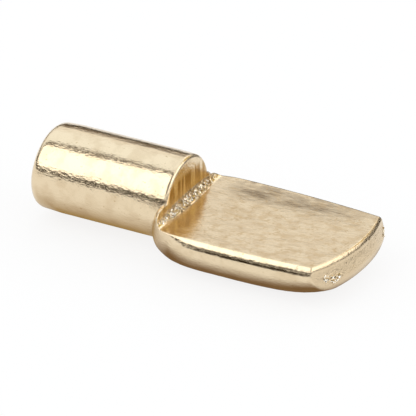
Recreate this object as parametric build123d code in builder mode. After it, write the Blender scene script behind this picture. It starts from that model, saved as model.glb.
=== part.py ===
"""Shelf support pin: a round pin for a drilled hole, headed out into a flat paddle that a shelf rests on.

Millimetres. The origin is on the pin's axis, in the plane of the shoulder's back, which comes to rest
against the cabinet side. The pin runs towards -X, the paddle towards +X, and the flat face looks up.
"""
import os
from math import hypot

from build123d import *

# Round pin, which goes into the hole: sheared a little off square and tumbled round at its end, with a slight
# taper that leads it in, and drawn in a hair towards its soft rim at the shoulder wall
pin_diameter = 5.0
pin_length = 7.66
lead_length = 1.5
lead_drop = 0.08
pin_end_tilt = 4.7
pin_end_round = 0.6
neck_drop = 0.03
rim_round = 0.2

# Paddle, which carries the shelf, and spread a hair more to one side
paddle_length = 10.75
paddle_width = 7.94
paddle_offset = -0.04
tip_width = 7.1
paddle_thickness = 2.56
flat_drop = 0.15
crown_height = 0.13
upper_edge_radius = 0.62
lower_corner_share = 0.5
widest_share = 0.3

# Tip of the paddle, an arc in plan a little off the centre line, leaning out downwards, its lower edge rolled under
tip_arc_radius = 10.0
tip_arc_offset = 0.7
tip_edge_radius = 0.5
tip_lean = 0.2
tip_wall_height = 1.12
tip_roll_length = 0.45
tip_roll_overlap = 0.06
tip_rise = 1.02
tip_corner_share = 0.9
tip_power = 5

# Shoulder, where the wire was upset sideways before the flat was pressed into it: an ear at each side, and a flare
# by which the wall spreads into the far one
shoulder_depth = 1.01
back_overreach = 0.11
near_ear_height = 0.85
far_ear_height = 0.36
flare_height = 0.57
flare_share = 0.86
ear_back_slope = 1.2
ear_ridge_round = 0.15
ear_run = 2.4
foot_radius = 0.35
plan_fullness = 3.3
belly_fullness = 6.0

# Cross-sections that the blank is drawn through, crowded towards the shoulder
station_count = 16
station_crowding = 1.5
last_station_share = 0.02

overrun = 1.0

pin_radius = pin_diameter / 2
neck_radius = pin_radius - neck_drop
flat_level = -flat_drop
crown_level = flat_level + crown_height
roll_top_level = flat_level - tip_wall_height
widest_x = shoulder_depth + paddle_length * widest_share
tip_x = shoulder_depth + paddle_length
tip_arc_x = tip_x - tip_arc_radius
tip_top_radius = tip_arc_radius - tip_lean
last_x = tip_x + paddle_length * last_station_share


def superellipse(along, fullness):
    """Share of the full size that is left, from 1 at the middle to 0 at the end."""
    return (1 - along**fullness) ** (1 / fullness)


def rear_rounding(x, fullness):
    return superellipse(max(widest_x - x, 0) / (widest_x + back_overreach), fullness)


def towards_tip(x):
    return max(x - widest_x, 0) / (tip_x - widest_x)


def half_width(x):
    tapered = paddle_width - (paddle_width - tip_width) * towards_tip(x) ** 2
    return tapered / 2 * rear_rounding(x, plan_fullness)


def top_level(x, ear_height):
    """Top of the blank: a rounded ridge at the shoulder that runs out into the paddle's crown."""
    ahead = x - shoulder_depth
    if ahead < 0:
        return flat_level + ear_height - ear_back_slope * (hypot(ahead, ear_ridge_round) - ear_ridge_round)
    left = max(1 - ahead / ear_run, 0)
    return crown_level + (ear_height - crown_height) * left**2


def bottom_level(x):
    risen = tip_rise * towards_tip(x) ** tip_power
    return flat_level - paddle_thickness * rear_rounding(x, belly_fullness) + risen


def corner_share(x):
    """How much of the half width the soft lower corner takes, almost all of it at the tip."""
    return lower_corner_share + (tip_corner_share - lower_corner_share) * towards_tip(x) ** tip_power


roll_end_level = bottom_level(tip_x - tip_roll_length) - tip_roll_overlap

with BuildPart() as shelf_pin:
    # Round pin, sunk into the blank as far as the shoulder wall, with a soft rim there
    with BuildSketch(Plane.XZ) as pin_half:
        with BuildLine():
            Polyline(
                (-pin_length - overrun, 0),
                (-pin_length - overrun, pin_radius - lead_drop * (1 + overrun / lead_length)),
                (lead_length - pin_length, pin_radius),
                (0, pin_radius),
                (shoulder_depth, neck_radius),
                (shoulder_depth, 0),
                close=True,
            )
        make_face()
        fillet(pin_half.vertices().group_by(Axis.X)[-1].sort_by(Axis.Y)[-1], rim_round)
    revolve(axis=Axis.X)

    # End of the pin, sheared a little off square and tumbled round
    end_plane = Plane(origin=(-pin_length, 0, 0), z_dir=(-1, 0, 0)).rotated((0, pin_end_tilt, 0))
    with BuildSketch(end_plane):
        Rectangle(2 * pin_diameter, 2 * pin_diameter)
    extrude(amount=2 * overrun, mode=Mode.SUBTRACT)
    fillet(shelf_pin.faces().sort_by(Axis.X)[0].edges(), pin_end_round)

    # Upset blank: round upper edges, wide soft corners below, one section for each station
    for step in range(station_count + 1):
        x = last_x * (step / station_count) ** station_crowding
        side = half_width(x)
        bottom = bottom_level(x)
        corner = side * corner_share(x)
        near_equator = top_level(x, near_ear_height) - upper_edge_radius
        far_equator = top_level(x, far_ear_height) - upper_edge_radius
        near_side = paddle_offset - side
        far_side = paddle_offset + side
        flare = ((far_side - upper_edge_radius) * flare_share, top_level(x, flare_height) + crown_height)
        with BuildSketch(Plane.YZ.offset(x)):
            with BuildLine():
                far_edge = CenterArc((far_side - upper_edge_radius, far_equator), upper_edge_radius, 0, 90)
                near_edge = CenterArc((near_side + upper_edge_radius, near_equator), upper_edge_radius, 90, 90)
                near_corner = EllipticalCenterArc(
                    (near_side + corner, near_equator), corner, near_equator - bottom, 180, arc_size=90
                )
                far_corner = EllipticalCenterArc(
                    (far_side - corner, far_equator), corner, far_equator - bottom, 270, arc_size=90
                )
                Polyline(far_edge @ 1, flare, near_edge @ 0)
                Line(near_corner @ 1, far_corner @ 0)
            make_face()
    loft()

    # Flat face and shoulder wall, pressed in together, with the round foot between them
    with BuildSketch(Plane.XZ) as press:
        with BuildLine():
            Polyline(
                (shoulder_depth, flat_level),
                (tip_x + overrun, flat_level),
                (tip_x + overrun, pin_diameter),
                (shoulder_depth, pin_diameter),
                close=True,
            )
        make_face()
        fillet(press.vertices().group_by(Axis.X)[0].sort_by(Axis.Y)[0], foot_radius)
    extrude(amount=paddle_width, both=True, mode=Mode.SUBTRACT)

    # Tip: one turned cutter gives the arc in plan, the rounded upper edge and the rolled lower edge
    tip_plane = Plane(origin=(tip_arc_x, tip_arc_offset, 0), x_dir=(0, -1, 0), z_dir=(-1, 0, 0))
    with BuildSketch(tip_plane):
        with BuildLine():
            tip_edge = CenterArc(
                (tip_top_radius - tip_edge_radius, crown_level - tip_edge_radius), tip_edge_radius, 0, 90
            )
            tip_roll = EllipticalCenterArc(
                (tip_arc_radius - tip_roll_length, roll_top_level),
                tip_roll_length,
                roll_top_level - roll_end_level,
                270,
                arc_size=90,
            )
            Line(tip_roll @ 1, tip_edge @ 0)
            Polyline(
                tip_edge @ 1,
                (tip_top_radius - tip_edge_radius, pin_diameter),
                (tip_arc_radius + paddle_width, pin_diameter),
                (tip_arc_radius + paddle_width, -pin_diameter),
                (tip_arc_radius - tip_roll_length, -pin_diameter),
                tip_roll @ 0,
            )
        make_face()
    revolve(axis=Axis(tip_plane.origin, (0, 0, 1)), revolution_arc=180, mode=Mode.SUBTRACT)

shelf_pin.part.label = "shelf_pin"
os.makedirs("parts", exist_ok=True)
export_step(shelf_pin.part, "parts/shelf_pin.step")
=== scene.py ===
# %% [markdown]
# # A brass-plated shelf support pin
# The pin is one length of steel wire, headed out into a flat paddle that carries a shelf, then tumbled and
# thinly plated with brass. It could be modelled here from scratch, but a solid model with the right sizes
# exists already, so it is loaded as a fixed frame in metres, and the script only dresses and lights it.

# %% Load the solid model
from math import cos, pi, radians, sin, tan

import bpy
from mathutils import Matrix, Vector


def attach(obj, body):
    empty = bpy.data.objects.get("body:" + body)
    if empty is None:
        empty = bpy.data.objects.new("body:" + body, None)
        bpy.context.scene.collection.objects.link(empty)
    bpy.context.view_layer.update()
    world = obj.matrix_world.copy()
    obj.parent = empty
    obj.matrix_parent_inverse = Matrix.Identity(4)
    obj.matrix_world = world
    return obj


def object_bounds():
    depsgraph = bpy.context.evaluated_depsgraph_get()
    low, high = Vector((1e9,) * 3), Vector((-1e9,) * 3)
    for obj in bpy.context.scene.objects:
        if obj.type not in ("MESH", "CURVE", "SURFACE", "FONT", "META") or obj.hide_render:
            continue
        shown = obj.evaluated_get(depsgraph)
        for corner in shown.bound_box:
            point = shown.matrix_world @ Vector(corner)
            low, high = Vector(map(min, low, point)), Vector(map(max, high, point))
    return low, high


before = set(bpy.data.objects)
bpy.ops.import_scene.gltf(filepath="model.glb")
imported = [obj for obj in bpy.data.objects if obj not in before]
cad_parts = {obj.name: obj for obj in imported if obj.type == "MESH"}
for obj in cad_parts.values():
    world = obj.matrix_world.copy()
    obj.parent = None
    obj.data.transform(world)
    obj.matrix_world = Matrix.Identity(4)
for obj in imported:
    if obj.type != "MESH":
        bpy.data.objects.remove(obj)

cad_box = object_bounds()
mm = 0.001
print("solid model, low and high corner in m:", [list(corner) for corner in cad_box])

# %% [markdown]
# ## Camera
# The photograph looks down on the pin from the right of its paddle, through a long lens, so lines that are
# parallel on the pin stay nearly parallel in the picture. A camera could be turned by eye until it fits. Here
# two angles and one scale, read from the pin's own straight lines, give its place, and the middle of the
# shoulder wall is set on its own pixel.

# %% Camera
view_turn = radians(28.3)
view_height = radians(28.4)
camera_distance = 0.3
film_width = 36
pixels_per_mm = 18.33
picture_side = 416
wall_middle = Vector((1.01 * mm, 0, 0))
wall_pixel = (187.4, 198.3)

back = Vector((sin(view_turn) * cos(view_height), -cos(view_turn) * cos(view_height), sin(view_height)))
right = Vector((cos(view_turn), sin(view_turn), 0))
up = back.cross(right)
aside = (picture_side / 2 - wall_pixel[0]) / pixels_per_mm * mm
below = (picture_side / 2 - wall_pixel[1]) / pixels_per_mm * mm
aim = wall_middle + right * aside - up * below

camera_data = bpy.data.cameras.new("photo_camera")
camera_data.sensor_width = film_width
camera_data.lens = pixels_per_mm * camera_distance / mm / picture_side * film_width
camera = bpy.data.objects.new("photo_camera", camera_data)
camera_turn = Matrix((right, up, back)).transposed().to_4x4()
camera.matrix_world = Matrix.Translation(aim + back * camera_distance) @ camera_turn
bpy.context.scene.collection.objects.link(camera)
bpy.context.scene.camera = camera
bpy.context.scene.view_settings.view_transform = "Standard"
print("camera lens in mm:", round(camera_data.lens, 1))

# %% [markdown]
# ## White tent
# Bright metal has almost no look of its own: it shows what stands around it. Small metal goods are photographed
# in a white tent, so the world is plain white. Rays that the camera or the metal sends out see it at full
# white, and as a lamp it is a little weaker, so that pale things don't burn out.

# %% White tent
ambient_light = 0.78


def seen_share(tree):
    """1 for rays that show a surface, straight, mirrored or through glass, and 0 for rays that only light."""
    rays = tree.nodes.new("ShaderNodeLightPath")
    share = rays.outputs["Is Camera Ray"]
    for kind in ("Is Glossy Ray", "Is Transmission Ray"):
        either = tree.nodes.new("ShaderNodeMath")
        either.operation = "MAXIMUM"
        tree.links.new(share, either.inputs[0])
        tree.links.new(rays.outputs[kind], either.inputs[1])
        share = either.outputs[0]
    return share


def between(tree, share, low, high):
    """A number that is low where the share is 0 and high where it is 1."""
    level = tree.nodes.new("ShaderNodeMapRange")
    level.inputs["To Min"].default_value = low
    level.inputs["To Max"].default_value = high
    tree.links.new(share, level.inputs["Value"])
    return level.outputs["Result"]


tent = bpy.data.worlds.new("white_tent")
bpy.context.scene.world = tent
tent.use_nodes = True
tent_cloth = tent.node_tree.nodes["Background"]
tent_cloth.inputs["Color"].default_value = (1, 1, 1, 1)
tent_strength = between(tent.node_tree, seen_share(tent.node_tree), ambient_light, 1.0)
tent.node_tree.links.new(tent_strength, tent_cloth.inputs["Strength"])
print("tent as a lamp:", ambient_light)

# %% [markdown]
# ## Floor
# The pin lies on white paper that shines nearly as white as the tent. A thin white glow, which only the camera
# and the metal see, stands for light that comes through the paper from below. The rest of it is matt white,
# so the pin still casts its soft shadow. A hair of air under the pin keeps the two surfaces apart.

# %% Floor
paper_white = (0.95, 0.95, 0.95)
paper_glow = 0.84
floor_gap = 0.07 * mm
floor_level = cad_box[0][2] - floor_gap
floor_half = 0.9
square = ((-1, -1), (1, -1), (1, 1), (-1, 1))


def stage_sheet(name, points, faces, colour):
    """A matt sheet of the studio, which is no part of the pin."""
    mesh = bpy.data.meshes.new(name)
    mesh.from_pydata(points, [], faces)
    sheet = bpy.data.objects.new(name, mesh)
    bpy.context.scene.collection.objects.link(sheet)
    paint = bpy.data.materials.new(name)
    paint.use_nodes = True
    matt = paint.node_tree.nodes["Principled BSDF"]
    matt.inputs["Base Color"].default_value = (*colour, 1)
    matt.inputs["Roughness"].default_value = 1.0
    matt.inputs["Specular IOR Level"].default_value = 0.0
    mesh.materials.append(paint)
    return sheet


floor_corners = [(x * floor_half, y * floor_half, floor_level) for x, y in square]
floor = stage_sheet("floor", floor_corners, [(0, 1, 2, 3)], paper_white)
paper = floor.data.materials[0].node_tree
glow = paper.nodes.new("ShaderNodeEmission")
glow.inputs["Color"].default_value = (1, 1, 1, 1)
glow.inputs["Strength"].default_value = 1.0
lit_paper = paper.nodes.new("ShaderNodeMixShader")
paper.links.new(between(paper, seen_share(paper), 0.0, paper_glow), lit_paper.inputs["Fac"])
paper.links.new(paper.nodes["Principled BSDF"].outputs["BSDF"], lit_paper.inputs[1])
paper.links.new(glow.outputs["Emission"], lit_paper.inputs[2])
paper.links.new(lit_paper.outputs["Shader"], paper.nodes["Material Output"].inputs["Surface"])
print("floor level in mm:", round(floor_level / mm, 3))

# %% [markdown]
# ## Light panels
# The white band along the pin and the white lines along the paddle's edges are soft boxes, a long one to the
# left and one beyond the tip. A short one behind lights the round foot of the shoulder wall, and a weak, cool
# one over the back greys the top of the pin. A lamp's power could be tried out by eye. Here it follows from
# the panel's area, so the brightness that is written is what the metal shows.

# %% Light panels
panel_brightness = 0.9
back_brightness = 0.26
cool_white = (0.5, 0.75, 1.0)
along_pin = Vector((1, 0, 0))
long_distance = 0.5


def light_panel(name, place, width, height, facing, brightness):
    """A soft box whose metal reflection has this brightness on top of the tent's."""
    lamp = bpy.data.lights.new(name, "AREA")
    lamp.shape = "RECTANGLE"
    lamp.size = width
    lamp.size_y = height
    lamp.energy = brightness * pi * width * height
    panel = bpy.data.objects.new(name, lamp)
    panel.matrix_world = Matrix.Translation(place) @ facing.to_4x4()
    panel.visible_camera = False
    bpy.context.scene.collection.objects.link(panel)
    return panel


def long_panel(name, low, high, start, end, brightness):
    """A panel along the pin, from start to end, between two heights in degrees from the left over the top."""
    middle = radians((low + high) / 2)
    away = Vector((0, -cos(middle), sin(middle)))
    facing = Matrix((along_pin, away.cross(along_pin), away)).transposed()
    height = 2 * long_distance * tan(radians(high - low) / 2)
    place = away * long_distance + along_pin * (start + end) / 2
    return light_panel(name, place, end - start, height, facing, brightness)


left_panel = long_panel("left_panel", low=18.0, high=76.4, start=-1.1, end=-0.09, brightness=panel_brightness)
back_panel = long_panel("back_panel", low=92.0, high=136.0, start=-1.0, end=0.1, brightness=back_brightness)
back_panel.data.color = cool_white
foot_panel = long_panel("foot_panel", low=136.8, high=146.8, start=-0.13, end=0.14, brightness=panel_brightness)
tip_facing = Matrix((Vector((0, 1, 0)), Vector((0, 0, 1)), along_pin)).transposed()
tip_panel_place = Vector((0.6, 0.28, 0.42))
tip_panel = light_panel(
    "tip_panel", tip_panel_place, width=1.15, height=0.65, facing=tip_facing, brightness=panel_brightness
)
panels = (left_panel, back_panel, foot_panel, tip_panel)
print("panels, width and height in m:", [(p.data.size, round(p.data.size_y, 3)) for p in panels])

# %% [markdown]
# ## Dark gaps
# The dark lines in the metal are the gaps of the tent: the ring where its cloth ends above the table, the slit
# at its top, the frame at the end of the left panel, and the opening for the camera. A fall of brown cloth behind
# shades the far side of the flat, and a brown card beside it colours the shoulder wall. All of them are sheets
# that only reflections see, so they neither show in the picture nor take away light. The flat is a mirror, and
# from another side a wide dark sheet would blacken it whole, so those above the ring are kept narrow.

# %% Ring above the table
gap_black = (0.03, 0.02, 0.008)
ring_radius = 0.85
ring_steps = 72


def ring_band(name, first_turn, last_turn, heights, colour):
    """A band of the tent between two turns, in degrees, through the given heights, in degrees."""
    points = []
    faces = []
    for step in range(ring_steps + 1):
        turn = radians(first_turn + (last_turn - first_turn) * step / ring_steps)
        for height in heights:
            rise = ring_radius * tan(radians(height))
            points.append((ring_radius * cos(turn), ring_radius * sin(turn), rise))
    rows = len(heights)
    for step in range(ring_steps):
        for row in range(rows - 1):
            corner = step * rows + row
            faces.append((corner, corner + rows, corner + rows + 1, corner + 1))
    return stage_sheet(name, points, faces, colour)


table_gap = ring_band("table_gap", first_turn=-60, last_turn=180, heights=(0.3, 9.5), colour=gap_black)
front_gap = ring_band("front_gap", first_turn=180, last_turn=300, heights=(1.2, 12.0), colour=gap_black)
print("points of the ring:", len(table_gap.data.vertices) + len(front_gap.data.vertices))

# %% Fall of cloth behind
fall_brown = (0.11, 0.06, 0.015)
fall_heights = (9.5, 13, 15, 17, 19, 21, 23, 25, 27, 28)
fall_start = 13
fall_end = 27.5
fall_strength = 0.92


def fade_out(sheet, name, values):
    """Let a sheet vanish softly by a value at each of its points."""
    share = sheet.data.attributes.new(name, "FLOAT", "POINT")
    share.data.foreach_set("value", values)
    tree = sheet.data.materials[0].node_tree
    read = tree.nodes.new("ShaderNodeAttribute")
    read.attribute_name = name
    tree.links.new(read.outputs["Fac"], tree.nodes["Principled BSDF"].inputs["Alpha"])


back_fall = ring_band("back_fall", first_turn=104, last_turn=132, heights=fall_heights, colour=fall_brown)
fall_values = []
for point in range(len(back_fall.data.vertices)):
    risen = (fall_heights[point % len(fall_heights)] - fall_start) / (fall_end - fall_start)
    risen = min(max(risen, 0), 1)
    fall_values.append(fall_strength * (1 - risen * risen * (3 - 2 * risen)))
fade_out(back_fall, "fall", fall_values)
print("points of the fall behind:", len(fall_values))

# %% Cards
slit_direction = (-0.417, -0.0976, 0.9037)
brown_direction = (0.417, 0.7745, 0.4756)
brown_across = (0.88, -0.474, 0)
card_brown = (0.66, 0.49, 0.135)
frame_direction = (0.125, -0.602, 0.799)


def card(name, direction, across, distance, width, height, colour):
    """A card that faces the pin, with its width along the given line."""
    away = Vector(direction).normalized()
    side = (Vector(across) - away * away.dot(Vector(across))).normalized()
    rise = away.cross(side)
    corners = []
    for sideways, upwards in square:
        corners.append(tuple(away * distance + side * (sideways * width / 2) + rise * (upwards * height / 2)))
    return stage_sheet(name, corners, [(0, 1, 2, 3)], colour)


top_slit = card("top_slit", slit_direction, along_pin, distance=0.6, width=1.6, height=0.08, colour=gap_black)
camera_gap = ring_band("camera_gap", first_turn=-106, last_turn=-95, heights=(13, 30, 50, 60), colour=gap_black)
brown_card = card(
    "brown_card", brown_direction, brown_across, distance=0.7, width=0.34, height=0.34, colour=card_brown
)
panel_frame = card(
    "panel_frame", frame_direction, along_pin, distance=0.5, width=0.30, height=0.424, colour=gap_black
)
print("cards:", [piece.name for piece in (top_slit, camera_gap, brown_card, panel_frame)])

# %% [markdown]
# ## Table beyond the paper
# The paper ends a little way in front of the paddle and beyond its tip. The dark table behind its edge is what
# the near side and the rim of the tip show as a dark line. The whole table could be built, but two pieces of it,
# drawn along the paper's edge, are all that the metal sees.

# %% Table beyond the paper
table_lift = 0.06 * mm
front_edge = [(-0.5, -10.5), (2.0, -9.0), (4.0, -7.3), (7.0, -7.3), (9.5, -9.4), (12.0, -13.0)]
front_depth = (-33.0, -62.0)
tip_place = (11.4, 1.0)
tip_edge_reach = {20: 26, 35: 19, 50: 13, 65: 11, 80: 12, 95: 14, 110: 16}
tip_table_reach = 80


def dark_table(name, inner, outer):
    """The table beyond the paper's edge, between two lines of points, in mm."""
    points = [(x * mm, y * mm, floor_level + table_lift) for x, y in inner + outer]
    faces = [(i, i + 1, i + 1 + len(inner), i + len(inner)) for i in range(len(inner) - 1)]
    return stage_sheet(name, points, faces, gap_black)


def around_tip(turn, reach):
    """A place on the table by its turn about the tip, in degrees, and its distance from it, in mm."""
    return (tip_place[0] + reach * cos(radians(turn)), tip_place[1] + reach * sin(radians(turn)))


front_outer = [(x + front_depth[0], y + front_depth[1]) for x, y in front_edge]
front_table = dark_table("front_table", front_edge, front_outer)
tip_inner = [around_tip(turn, reach) for turn, reach in tip_edge_reach.items()]
tip_outer = [around_tip(turn, tip_table_reach) for turn in tip_edge_reach]
tip_table = dark_table("tip_table", tip_inner, tip_outer)
print("points of the table:", len(front_table.data.vertices) + len(tip_table.data.vertices))

# %% [markdown]
# ## Shade under the pin
# The underside shows the paper right below it, which lies in the pin's own brown shade. The floor could be darker
# there, but the picture would show it. So two sheets on the floor, one under the pin and one under the paddle,
# deepen the shade in the metal only. They fade out at their borders, and each has a height of its own, because
# sheets in one plane would show through each other in flecks.

# %% Shade under the pin
shade_step = 0.25
pin_brown = (0.40, 0.28, 0.12)
paddle_brown = (0.22, 0.14, 0.07)


def shade_sheet(name, lift, start, end, half, brown, reach, soft, power):
    """A brown sheet on the floor that fades out from its inside to a reach outside its border, all in mm."""
    columns = round((end - start + 2 * reach) / shade_step)
    rows = round(2 * (half + reach) / shade_step)
    points = []
    values = []
    for column in range(columns + 1):
        for row in range(rows + 1):
            x = start - reach + shade_step * column
            y = -half - reach + shade_step * row
            outside = max(abs(y) - half, start - x, x - end)
            points.append((x * mm, y * mm, floor_level + lift * mm))
            values.append(min(max((reach - outside) / soft, 0), 1) ** power)
    faces = []
    for column in range(columns):
        for row in range(rows):
            corner = column * (rows + 1) + row
            faces.append((corner, corner + rows + 1, corner + rows + 2, corner + 1))
    sheet = stage_sheet(name, points, faces, (0, 0, 0))
    fade_out(sheet, "shade", values)
    matt = sheet.data.materials[0].node_tree.nodes["Principled BSDF"]
    matt.inputs["Emission Color"].default_value = (*brown, 1)
    matt.inputs["Emission Strength"].default_value = 1.0
    return sheet


pin_shade = shade_sheet(
    "pin_shade", lift=0.02, start=-8.3, end=0.5, half=3.0, brown=pin_brown, reach=2.5, soft=4.2, power=2
)
paddle_shade = shade_sheet(
    "paddle_shade", lift=0.04, start=-0.3, end=11.6, half=4.3, brown=paddle_brown, reach=0.7, soft=1.6, power=1
)
print("points of the shade:", len(pin_shade.data.vertices) + len(paddle_shade.data.vertices))

# %% Sheets that only reflections see
gaps_and_cards = (table_gap, front_gap, back_fall, top_slit, camera_gap, brown_card, panel_frame)
tables_and_shades = (front_table, tip_table, pin_shade, paddle_shade)
for sheet in gaps_and_cards + tables_and_shades:
    sheet.visible_camera = False
    sheet.visible_diffuse = False
    sheet.visible_shadow = False
print("sheets that only reflections see:", len(gaps_and_cards + tables_and_shades))

# %% [markdown]
# ## Brass plating
# The plating is thin and bright, but the steel below it was drawn, sheared, hit and tumbled, so no reflection
# in it is straight. A picture of brass could be laid on, but it would be stretched somewhere and would carry
# light of its own. So the plating is worked out from the place on the pin: heights in millimetres bend the
# reflections, and colour and gloss vary a little.

# %% Plating: nodes and sums
plating = bpy.data.materials.new("brass_plating")
plating.use_nodes = True
plating_nodes = plating.node_tree.nodes
plating_links = plating.node_tree.links
plating_shader = plating_nodes["Principled BSDF"]


def shader_node(kind, inputs, **settings):
    """A node of the plating; each input is a fixed value or the output that feeds it."""
    made = plating_nodes.new("ShaderNode" + kind)
    for name, setting in settings.items():
        setattr(made, name, setting)
    for socket, value in inputs.items():
        if isinstance(value, bpy.types.NodeSocket):
            plating_links.new(value, made.inputs[socket])
        else:
            made.inputs[socket].default_value = value
    return made


def sum_of(*values):
    total = values[0]
    for value in values[1:]:
        total = shader_node("Math", {0: total, 1: value}, operation="ADD").outputs[0]
    return total


def product_of(*values):
    total = values[0]
    for value in values[1:]:
        total = shader_node("Math", {0: total, 1: value}, operation="MULTIPLY").outputs[0]
    return total


def fade(value, start, end):
    """From 0 at start to 1 at end, softly; start may be the higher of the two."""
    ends = {"Value": value, "From Min": start, "From Max": end}
    return shader_node("MapRange", ends, interpolation_type="SMOOTHSTEP").outputs["Result"]


print("nodes that the plating starts with:", len(plating_nodes))

# %% Plating: places and noise
per_mm = (1 / mm, 1 / mm, 1 / mm)
pin_place = plating_nodes.new("ShaderNodeTexCoord")
place_mm = shader_node("Mapping", {"Vector": pin_place.outputs["Object"], "Scale": per_mm}).outputs[0]
place_x, place_y, place_z = shader_node("SeparateXYZ", {0: place_mm}).outputs
facing_x, _, facing_z = shader_node("SeparateXYZ", {0: pin_place.outputs["Normal"]}).outputs


def grain(size, stretch=(1, 1, 1), turn=0.0, detail=2.0):
    """Noise with grains of a size in mm, longer along each axis by its stretch, turned in the flat's plane."""
    scale = tuple(1 / (size * longer) for longer in stretch)
    turned = shader_node("Mapping", {"Vector": place_mm, "Rotation": (0, 0, turn)}).outputs[0]
    place = shader_node("Mapping", {"Vector": turned, "Scale": scale}).outputs[0]
    return shader_node("TexNoise", {"Vector": place, "Scale": 1.0, "Detail": detail}).outputs[0]


def spot(centre, reach, core):
    """A soft patch: 1 within the core's share of its reach, in mm along each axis, and 0 outside it."""
    shift = tuple(-c / r for c, r in zip(centre, reach))
    scale = tuple(1 / r for r in reach)
    place = shader_node("Mapping", {"Vector": place_mm, "Location": shift, "Scale": scale}).outputs[0]
    away = shader_node("VectorMath", {0: place}, operation="LENGTH").outputs["Value"]
    return fade(away, 1.0, core)


print("nodes for the place on the pin:", len(plating_nodes))

# %% [markdown]
# ### Surfaces
# Press, shear and tumbler each left their own surface. They could be picked face by face, but the finish should
# run softly from one to the next, so each is found by its place and by where it faces: the pressed flat, the
# shoulder wall, the flaked foot between them, the face of the tip, its two rough corners where the blank was
# sheared, and the soft edge below the near one.

# %% Plating: surfaces
on_flat = product_of(fade(facing_z, 0.93, 0.985), fade(place_x, 1.3, 1.6))
on_wall = product_of(fade(facing_x, 0.9, 0.98), fade(place_x, 1.4, 1.15))
at_flakes = spot(centre=(1.14, 0.0, 0.06), reach=(0.36, 3.6, 0.40), core=0.5)
on_tip = product_of(fade(facing_x, 0.3, 0.6), fade(place_x, 10.2, 10.8))
at_sheared_corner = spot(centre=(11.15, -2.4, -1.1), reach=(0.8, 1.1, 0.5), core=0.3)
at_soft_corner = spot(centre=(10.9, -3.3, -1.3), reach=(0.9, 1.0, 1.0), core=0.5)
at_far_corner = spot(centre=(11.25, 3.3, -1.15), reach=(0.5, 0.45, 0.5), core=0.3)
print("nodes up to the surfaces:", len(plating_nodes))

# %% [markdown]
# ### Heights
# The tumbler left long ripples with fine pebbles on them, the press wrinkled the flat, scored the wall and let
# the far side of the flat sag, and the shear tore the corners. All of it is far thinner than a mesh could carry,
# so it is bump, with heights in millimetres. A Bevel node rounds the last sharp edges in the same step.

# %% Plating: heights in mm
drawn_turn = radians(-24)
edge_round = 0.12
soft_corner_round = 0.4


def relief(noise, depth, *where):
    """Heights about zero, up to half the depth each way, so that the border of a patch makes no step."""
    return product_of(sum_of(noise, -0.5), depth, *where)


tumbled = relief(grain(0.5, (2.5, 1, 1)), 0.020)
pebbled = relief(grain(0.11, (2.0, 1, 1), detail=3.0), 0.012, fade(on_flat, 1.6, 0.0))
wrinkled = relief(grain(0.45, (2.2, 1, 1), drawn_turn, 3.0), 0.009, on_flat)
scored = relief(grain(0.3, (1, 1, 12)), 0.012, on_wall)
flaked = relief(fade(grain(0.22, detail=3.0), 0.44, 0.56), 0.16, at_flakes)
torn = relief(grain(0.16, detail=3.0), 0.12, sum_of(at_sheared_corner, at_far_corner))
sag_run = product_of(fade(place_x, 1.5, 3.2), fade(place_x, 11.3, 7.5), fade(facing_z, 0.2, 0.5))
sag_depth = sum_of(0.04, product_of(grain(1.8, detail=1.0), 0.08))
sagged = product_of(fade(place_y, 1.4, 3.3), sag_run, sag_depth, -1.0)
height = sum_of(tumbled, pebbled, wrinkled, scored, flaked, torn, sagged)
rounding = product_of(sum_of(edge_round, product_of(at_soft_corner, soft_corner_round)), mm)
soft_edge = shader_node("Bevel", {"Radius": rounding}, samples=6).outputs[0]
bump_inputs = {"Height": height, "Distance": mm, "Strength": 1.0, "Normal": soft_edge}
plating_links.new(shader_node("Bump", bump_inputs).outputs[0], plating_shader.inputs["Normal"])
print("nodes up to the heights:", len(plating_nodes))

# %% [markdown]
# ### Colour and gloss
# Bright brass is mottled with a duller one. The flat has honey-coloured patches, pits and creases, and its far
# side is painted a darker grey in noisy patches, deeper towards the edge, which is painted shade. The score marks
# of the wall are stained brown. Each could be a finish of its own, but they run into each other. So their colours
# lie over each other like glazes, each by a share from 0 to 1 that its own noise and surface give.

# %% Plating: shares of the tints
mottled = product_of(fade(grain(0.9, detail=4.0), 0.42, 0.68), 0.6)
honey_run = product_of(on_flat, fade(place_x, 2.2, 4.2))
honeyed = product_of(fade(grain(0.45, (1.5, 1, 1), detail=5.0), 0.48, 0.66), honey_run, 0.45)
specked = product_of(fade(grain(0.16, detail=1.0), 0.70, 0.80), 0.5)
pitted = product_of(fade(grain(0.13, (1.5, 1, 1)), 0.50, 0.62), on_flat, 0.22)
crease_noise = grain(1.1, (1.8, 1, 1), drawn_turn, 3.0)
crease_side = shader_node("Math", {0: sum_of(crease_noise, -0.5)}, operation="ABSOLUTE").outputs[0]
crease_line = fade(crease_side, 0.016, 0.004)
creased = product_of(crease_line, fade(grain(0.7), 0.46, 0.56), on_flat, 0.7)
# Painted shade: the far side of the flat is tinted darker grey in noisy patches, more so towards its edge
far_side_shade_run = product_of(fade(place_x, 1.3, 3.0), fade(place_x, 11.5, 7.5), fade(place_y, 1.4, 2.7))
far_side_shade_depth = sum_of(0.52, product_of(fade(place_y, 2.8, 3.5), 0.3))
far_side_shade_noise = fade(grain(0.35, (1.8, 1, 1), detail=4.0), 0.35, 0.62)
far_side_painted_shade = product_of(far_side_shade_noise, far_side_shade_run, on_flat, far_side_shade_depth)
scores = fade(grain(0.3, (1, 1, 12)), 0.45, 0.54)
stain_depth = sum_of(0.44, product_of(fade(place_z, 0.4, 1.2), 0.5))
wall_stain = product_of(scores, on_wall, fade(place_z, 1.75, 1.35), stain_depth)
print("nodes up to the tints:", len(plating_nodes))

# %% Plating: colour and gloss
bright_brass = (0.81, 0.665, 0.455, 1)
dull_brass = (0.68, 0.53, 0.34, 1)
honey_brass = (0.60, 0.43, 0.23, 1)
# Painted shade: the darker grey of the flat's far side
far_side_shade_grey = (0.42, 0.33, 0.22, 1)
stain_brown = (0.42, 0.25, 0.07, 1)

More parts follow.
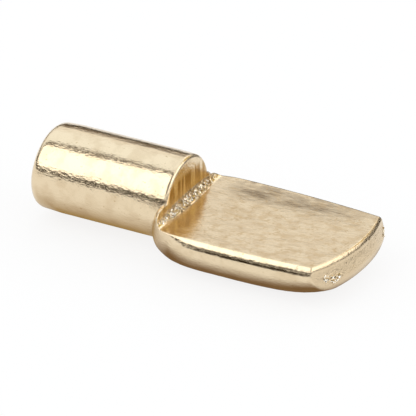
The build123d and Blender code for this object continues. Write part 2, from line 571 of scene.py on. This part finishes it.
# Places of the colour sockets on a Mix node, which has others for numbers and vectors
mix_under, mix_over, mix_result = 6, 7, 2


def tint(share, under, over):
    """One colour over another by a share."""
    colours = {"Factor": share, mix_under: under, mix_over: over}
    return shader_node("Mix", colours, data_type="RGBA").outputs[mix_result]


brass_colour = tint(mottled, bright_brass, dull_brass)
brass_colour = tint(product_of(on_tip, 0.6), brass_colour, dull_brass)
brass_colour = tint(sum_of(honeyed, pitted), brass_colour, honey_brass)
# Painted shade over the far side of the flat
brass_colour = tint(far_side_painted_shade, brass_colour, far_side_shade_grey)
brass_colour = tint(creased, brass_colour, honey_brass)
brass_colour = tint(sum_of(specked, wall_stain), brass_colour, stain_brown)
plating_links.new(brass_colour, plating_shader.inputs["Base Color"])
plating_shader.inputs["Metallic"].default_value = 1.0
uneven_gloss = sum_of(0.08, product_of(grain(0.8, detail=3.0), 0.12))
gloss = sum_of(uneven_gloss, product_of(on_wall, 0.10), product_of(on_tip, 0.08), product_of(on_flat, 0.06))
plating_links.new(gloss, plating_shader.inputs["Roughness"])
shelf_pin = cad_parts["shelf_pin"]
shelf_pin.data.materials.clear()
shelf_pin.data.materials.append(plating)
print("nodes of the plating:", len(plating_nodes))

# %% [markdown]
# ## Plating grains
# Where the press and the shear tore the steel, along the round foot and at the corners of the tip, the plating
# grew into tiny bright grains that glitter. They could be painted, but they stand out, so they are real: Geometry
# Nodes scatter points over these places of the pin's own surface and set a small flat-sided grain on each. They
# have a finish of their own, because the rounding of the pin's finish would take away their facets. Their colour
# is painted light: noisy spots of a painted dark shade and of a painted near-white glint.

# %% Plating grains: finish
grain_roughness = 0.12
spots_per_mm = 8
# Painted light: a dark brown for painted shade and a near-white for a painted glint on the grains
grain_painted_shade = (0.45, 0.31, 0.13, 1)
grain_painted_glint = (1.0, 0.96, 0.86, 1)

grain_plating = bpy.data.materials.new("grain_plating")
grain_plating.use_nodes = True
finish_nodes = grain_plating.node_tree.nodes
finish_links = grain_plating.node_tree.links
grain_shader = finish_nodes["Principled BSDF"]
grain_shader.inputs["Metallic"].default_value = 1.0
grain_shader.inputs["Roughness"].default_value = grain_roughness
grain_place = finish_nodes.new("ShaderNodeTexCoord")
grain_noise = finish_nodes.new("ShaderNodeTexNoise")
grain_noise.inputs["Scale"].default_value = spots_per_mm / mm
# The ramp spreads the painted shade and the painted glint over the grains in noisy spots
grain_colours = finish_nodes.new("ShaderNodeValToRGB")
painted_shade_end, painted_glint_end = grain_colours.color_ramp.elements
painted_shade_end.position = 0.42
painted_shade_end.color = grain_painted_shade
painted_glint_end.position = 0.5
painted_glint_end.color = grain_painted_glint
finish_links.new(grain_place.outputs["Object"], grain_noise.inputs["Vector"])
finish_links.new(grain_noise.outputs[0], grain_colours.inputs["Fac"])
finish_links.new(grain_colours.outputs["Color"], grain_shader.inputs["Base Color"])
print("finish of the grains:", grain_plating.name)

# %% Plating grains: inputs of the tree
grain_tree = bpy.data.node_groups.new("plating_grains", "GeometryNodeTree")
grain_face = grain_tree.interface
grain_face.new_socket("Geometry", in_out="INPUT", socket_type="NodeSocketGeometry")
grain_inputs = {
    "Density": ("NodeSocketFloat", 75.0 / mm**2),
    "Smallest": ("NodeSocketFloat", 0.03 * mm),
    "Largest": ("NodeSocketFloat", 0.09 * mm),
    "Seed": ("NodeSocketInt", 7),
}
for name, (kind, _) in grain_inputs.items():
    grain_face.new_socket(name, in_out="INPUT", socket_type=kind)
grain_face.new_socket("Geometry", in_out="OUTPUT", socket_type="NodeSocketGeometry")
print("inputs of the grains:", list(grain_inputs))

# %% Plating grains: torn places


def grain_node(kind, inputs, **settings):
    """A node of the grains' tree; each input is a fixed value or the output that feeds it."""
    made = grain_tree.nodes.new(kind)
    for name, setting in settings.items():
        setattr(made, name, setting)
    for socket, value in inputs.items():
        if isinstance(value, bpy.types.NodeSocket):
            grain_tree.links.new(value, made.inputs[socket])
        else:
            made.inputs[socket].default_value = value
    return made


def vector_node(operation, *vectors):
    return grain_node("ShaderNodeVectorMath", dict(enumerate(vectors)), operation=operation)


def ball_share(centre, reach):
    """1 inside an ellipsoid about a place, 0 outside it; sizes are in mm."""
    shift = vector_node("SUBTRACT", grain_position, tuple(c * mm for c in centre)).outputs[0]
    sized = vector_node("DIVIDE", shift, tuple(r * mm for r in reach)).outputs[0]
    away = vector_node("LENGTH", sized).outputs["Value"]
    return grain_node("ShaderNodeMath", {0: away, 1: 1.0}, operation="LESS_THAN").outputs[0]


grain_input = grain_tree.nodes.new("NodeGroupInput")
grain_position = grain_tree.nodes.new("GeometryNodeInputPosition").outputs[0]
torn_zone = ball_share(centre=(1.13, -0.2, 0.02), reach=(0.20, 3.2, 0.22))
upper_patch = ball_share(centre=(11.05, -2.75, -0.95), reach=(0.4, 0.42, 0.20))
lower_patch = ball_share(centre=(11.2, -2.2, -1.2), reach=(0.4, 0.45, 0.20))
far_patch = ball_share(centre=(11.3, 3.4, -1.15), reach=(0.4, 0.25, 0.35))
for patch in (upper_patch, lower_patch, far_patch):
    torn_zone = grain_node("ShaderNodeMath", {0: torn_zone, 1: patch}, operation="MAXIMUM").outputs[0]
print("nodes up to the torn places:", len(grain_tree.nodes))

# %% Plating grains: scatter
merge_distance = 0.001 * mm
full_turn = (2 * pi, 2 * pi, 2 * pi)
seed = grain_input.outputs["Seed"]

merged = grain_node("GeometryNodeMergeByDistance", {
    "Geometry": grain_input.outputs["Geometry"], "Distance": merge_distance})
scattered = grain_node("GeometryNodeDistributePointsOnFaces", {
    "Mesh": merged.outputs["Geometry"], "Density": grain_input.outputs["Density"], "Seed": seed})
# A Random Value node takes the limits of a vector at places 0 and 1, and those of a number at 2 and 3
grain_size = grain_node("FunctionNodeRandomValue", {
    2: grain_input.outputs["Smallest"], 3: grain_input.outputs["Largest"], "Seed": seed})
grain_turn = grain_node("FunctionNodeRandomValue", {
    0: (0, 0, 0), 1: full_turn, "Seed": seed}, data_type="FLOAT_VECTOR")
one_grain = grain_node("GeometryNodeMeshIcoSphere", {"Radius": 1.0, "Subdivisions": 1})
grown = grain_node("GeometryNodeInstanceOnPoints", {
    "Points": scattered.outputs["Points"], "Selection": torn_zone, "Instance": one_grain.outputs["Mesh"],
    "Rotation": grain_turn.outputs[0], "Scale": grain_size.outputs[1]})
real_grains = grain_node("GeometryNodeRealizeInstances", {"Geometry": grown.outputs["Instances"]})
plated = grain_node("GeometryNodeSetMaterial", {
    "Geometry": real_grains.outputs["Geometry"], "Material": grain_plating})
grain_output = grain_tree.nodes.new("NodeGroupOutput")
grain_tree.links.new(plated.outputs["Geometry"], grain_output.inputs["Geometry"])
print("nodes of the grains:", len(grain_tree.nodes))

# %% Plating grains: the piece
grain_maker = bpy.data.objects.new("grain_maker", shelf_pin.data.copy())
bpy.context.scene.collection.objects.link(grain_maker)
growing = grain_maker.modifiers.new("grains", "NODES")
growing.node_group = grain_tree
for socket in grain_face.items_tree:
    if socket.in_out == "INPUT" and socket.name in grain_inputs:
        growing[socket.identifier] = grain_inputs[socket.name][1]
evaluated = grain_maker.evaluated_get(bpy.context.evaluated_depsgraph_get())
grain_mesh = bpy.data.meshes.new_from_object(evaluated)
grain_maker.modifiers.remove(growing)
bpy.data.objects.remove(grain_maker)
plating_grains = bpy.data.objects.new("plating_grains", grain_mesh)
bpy.context.scene.collection.objects.link(plating_grains)
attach(plating_grains, "root")
print("faces of the grains:", len(grain_mesh.polygons))
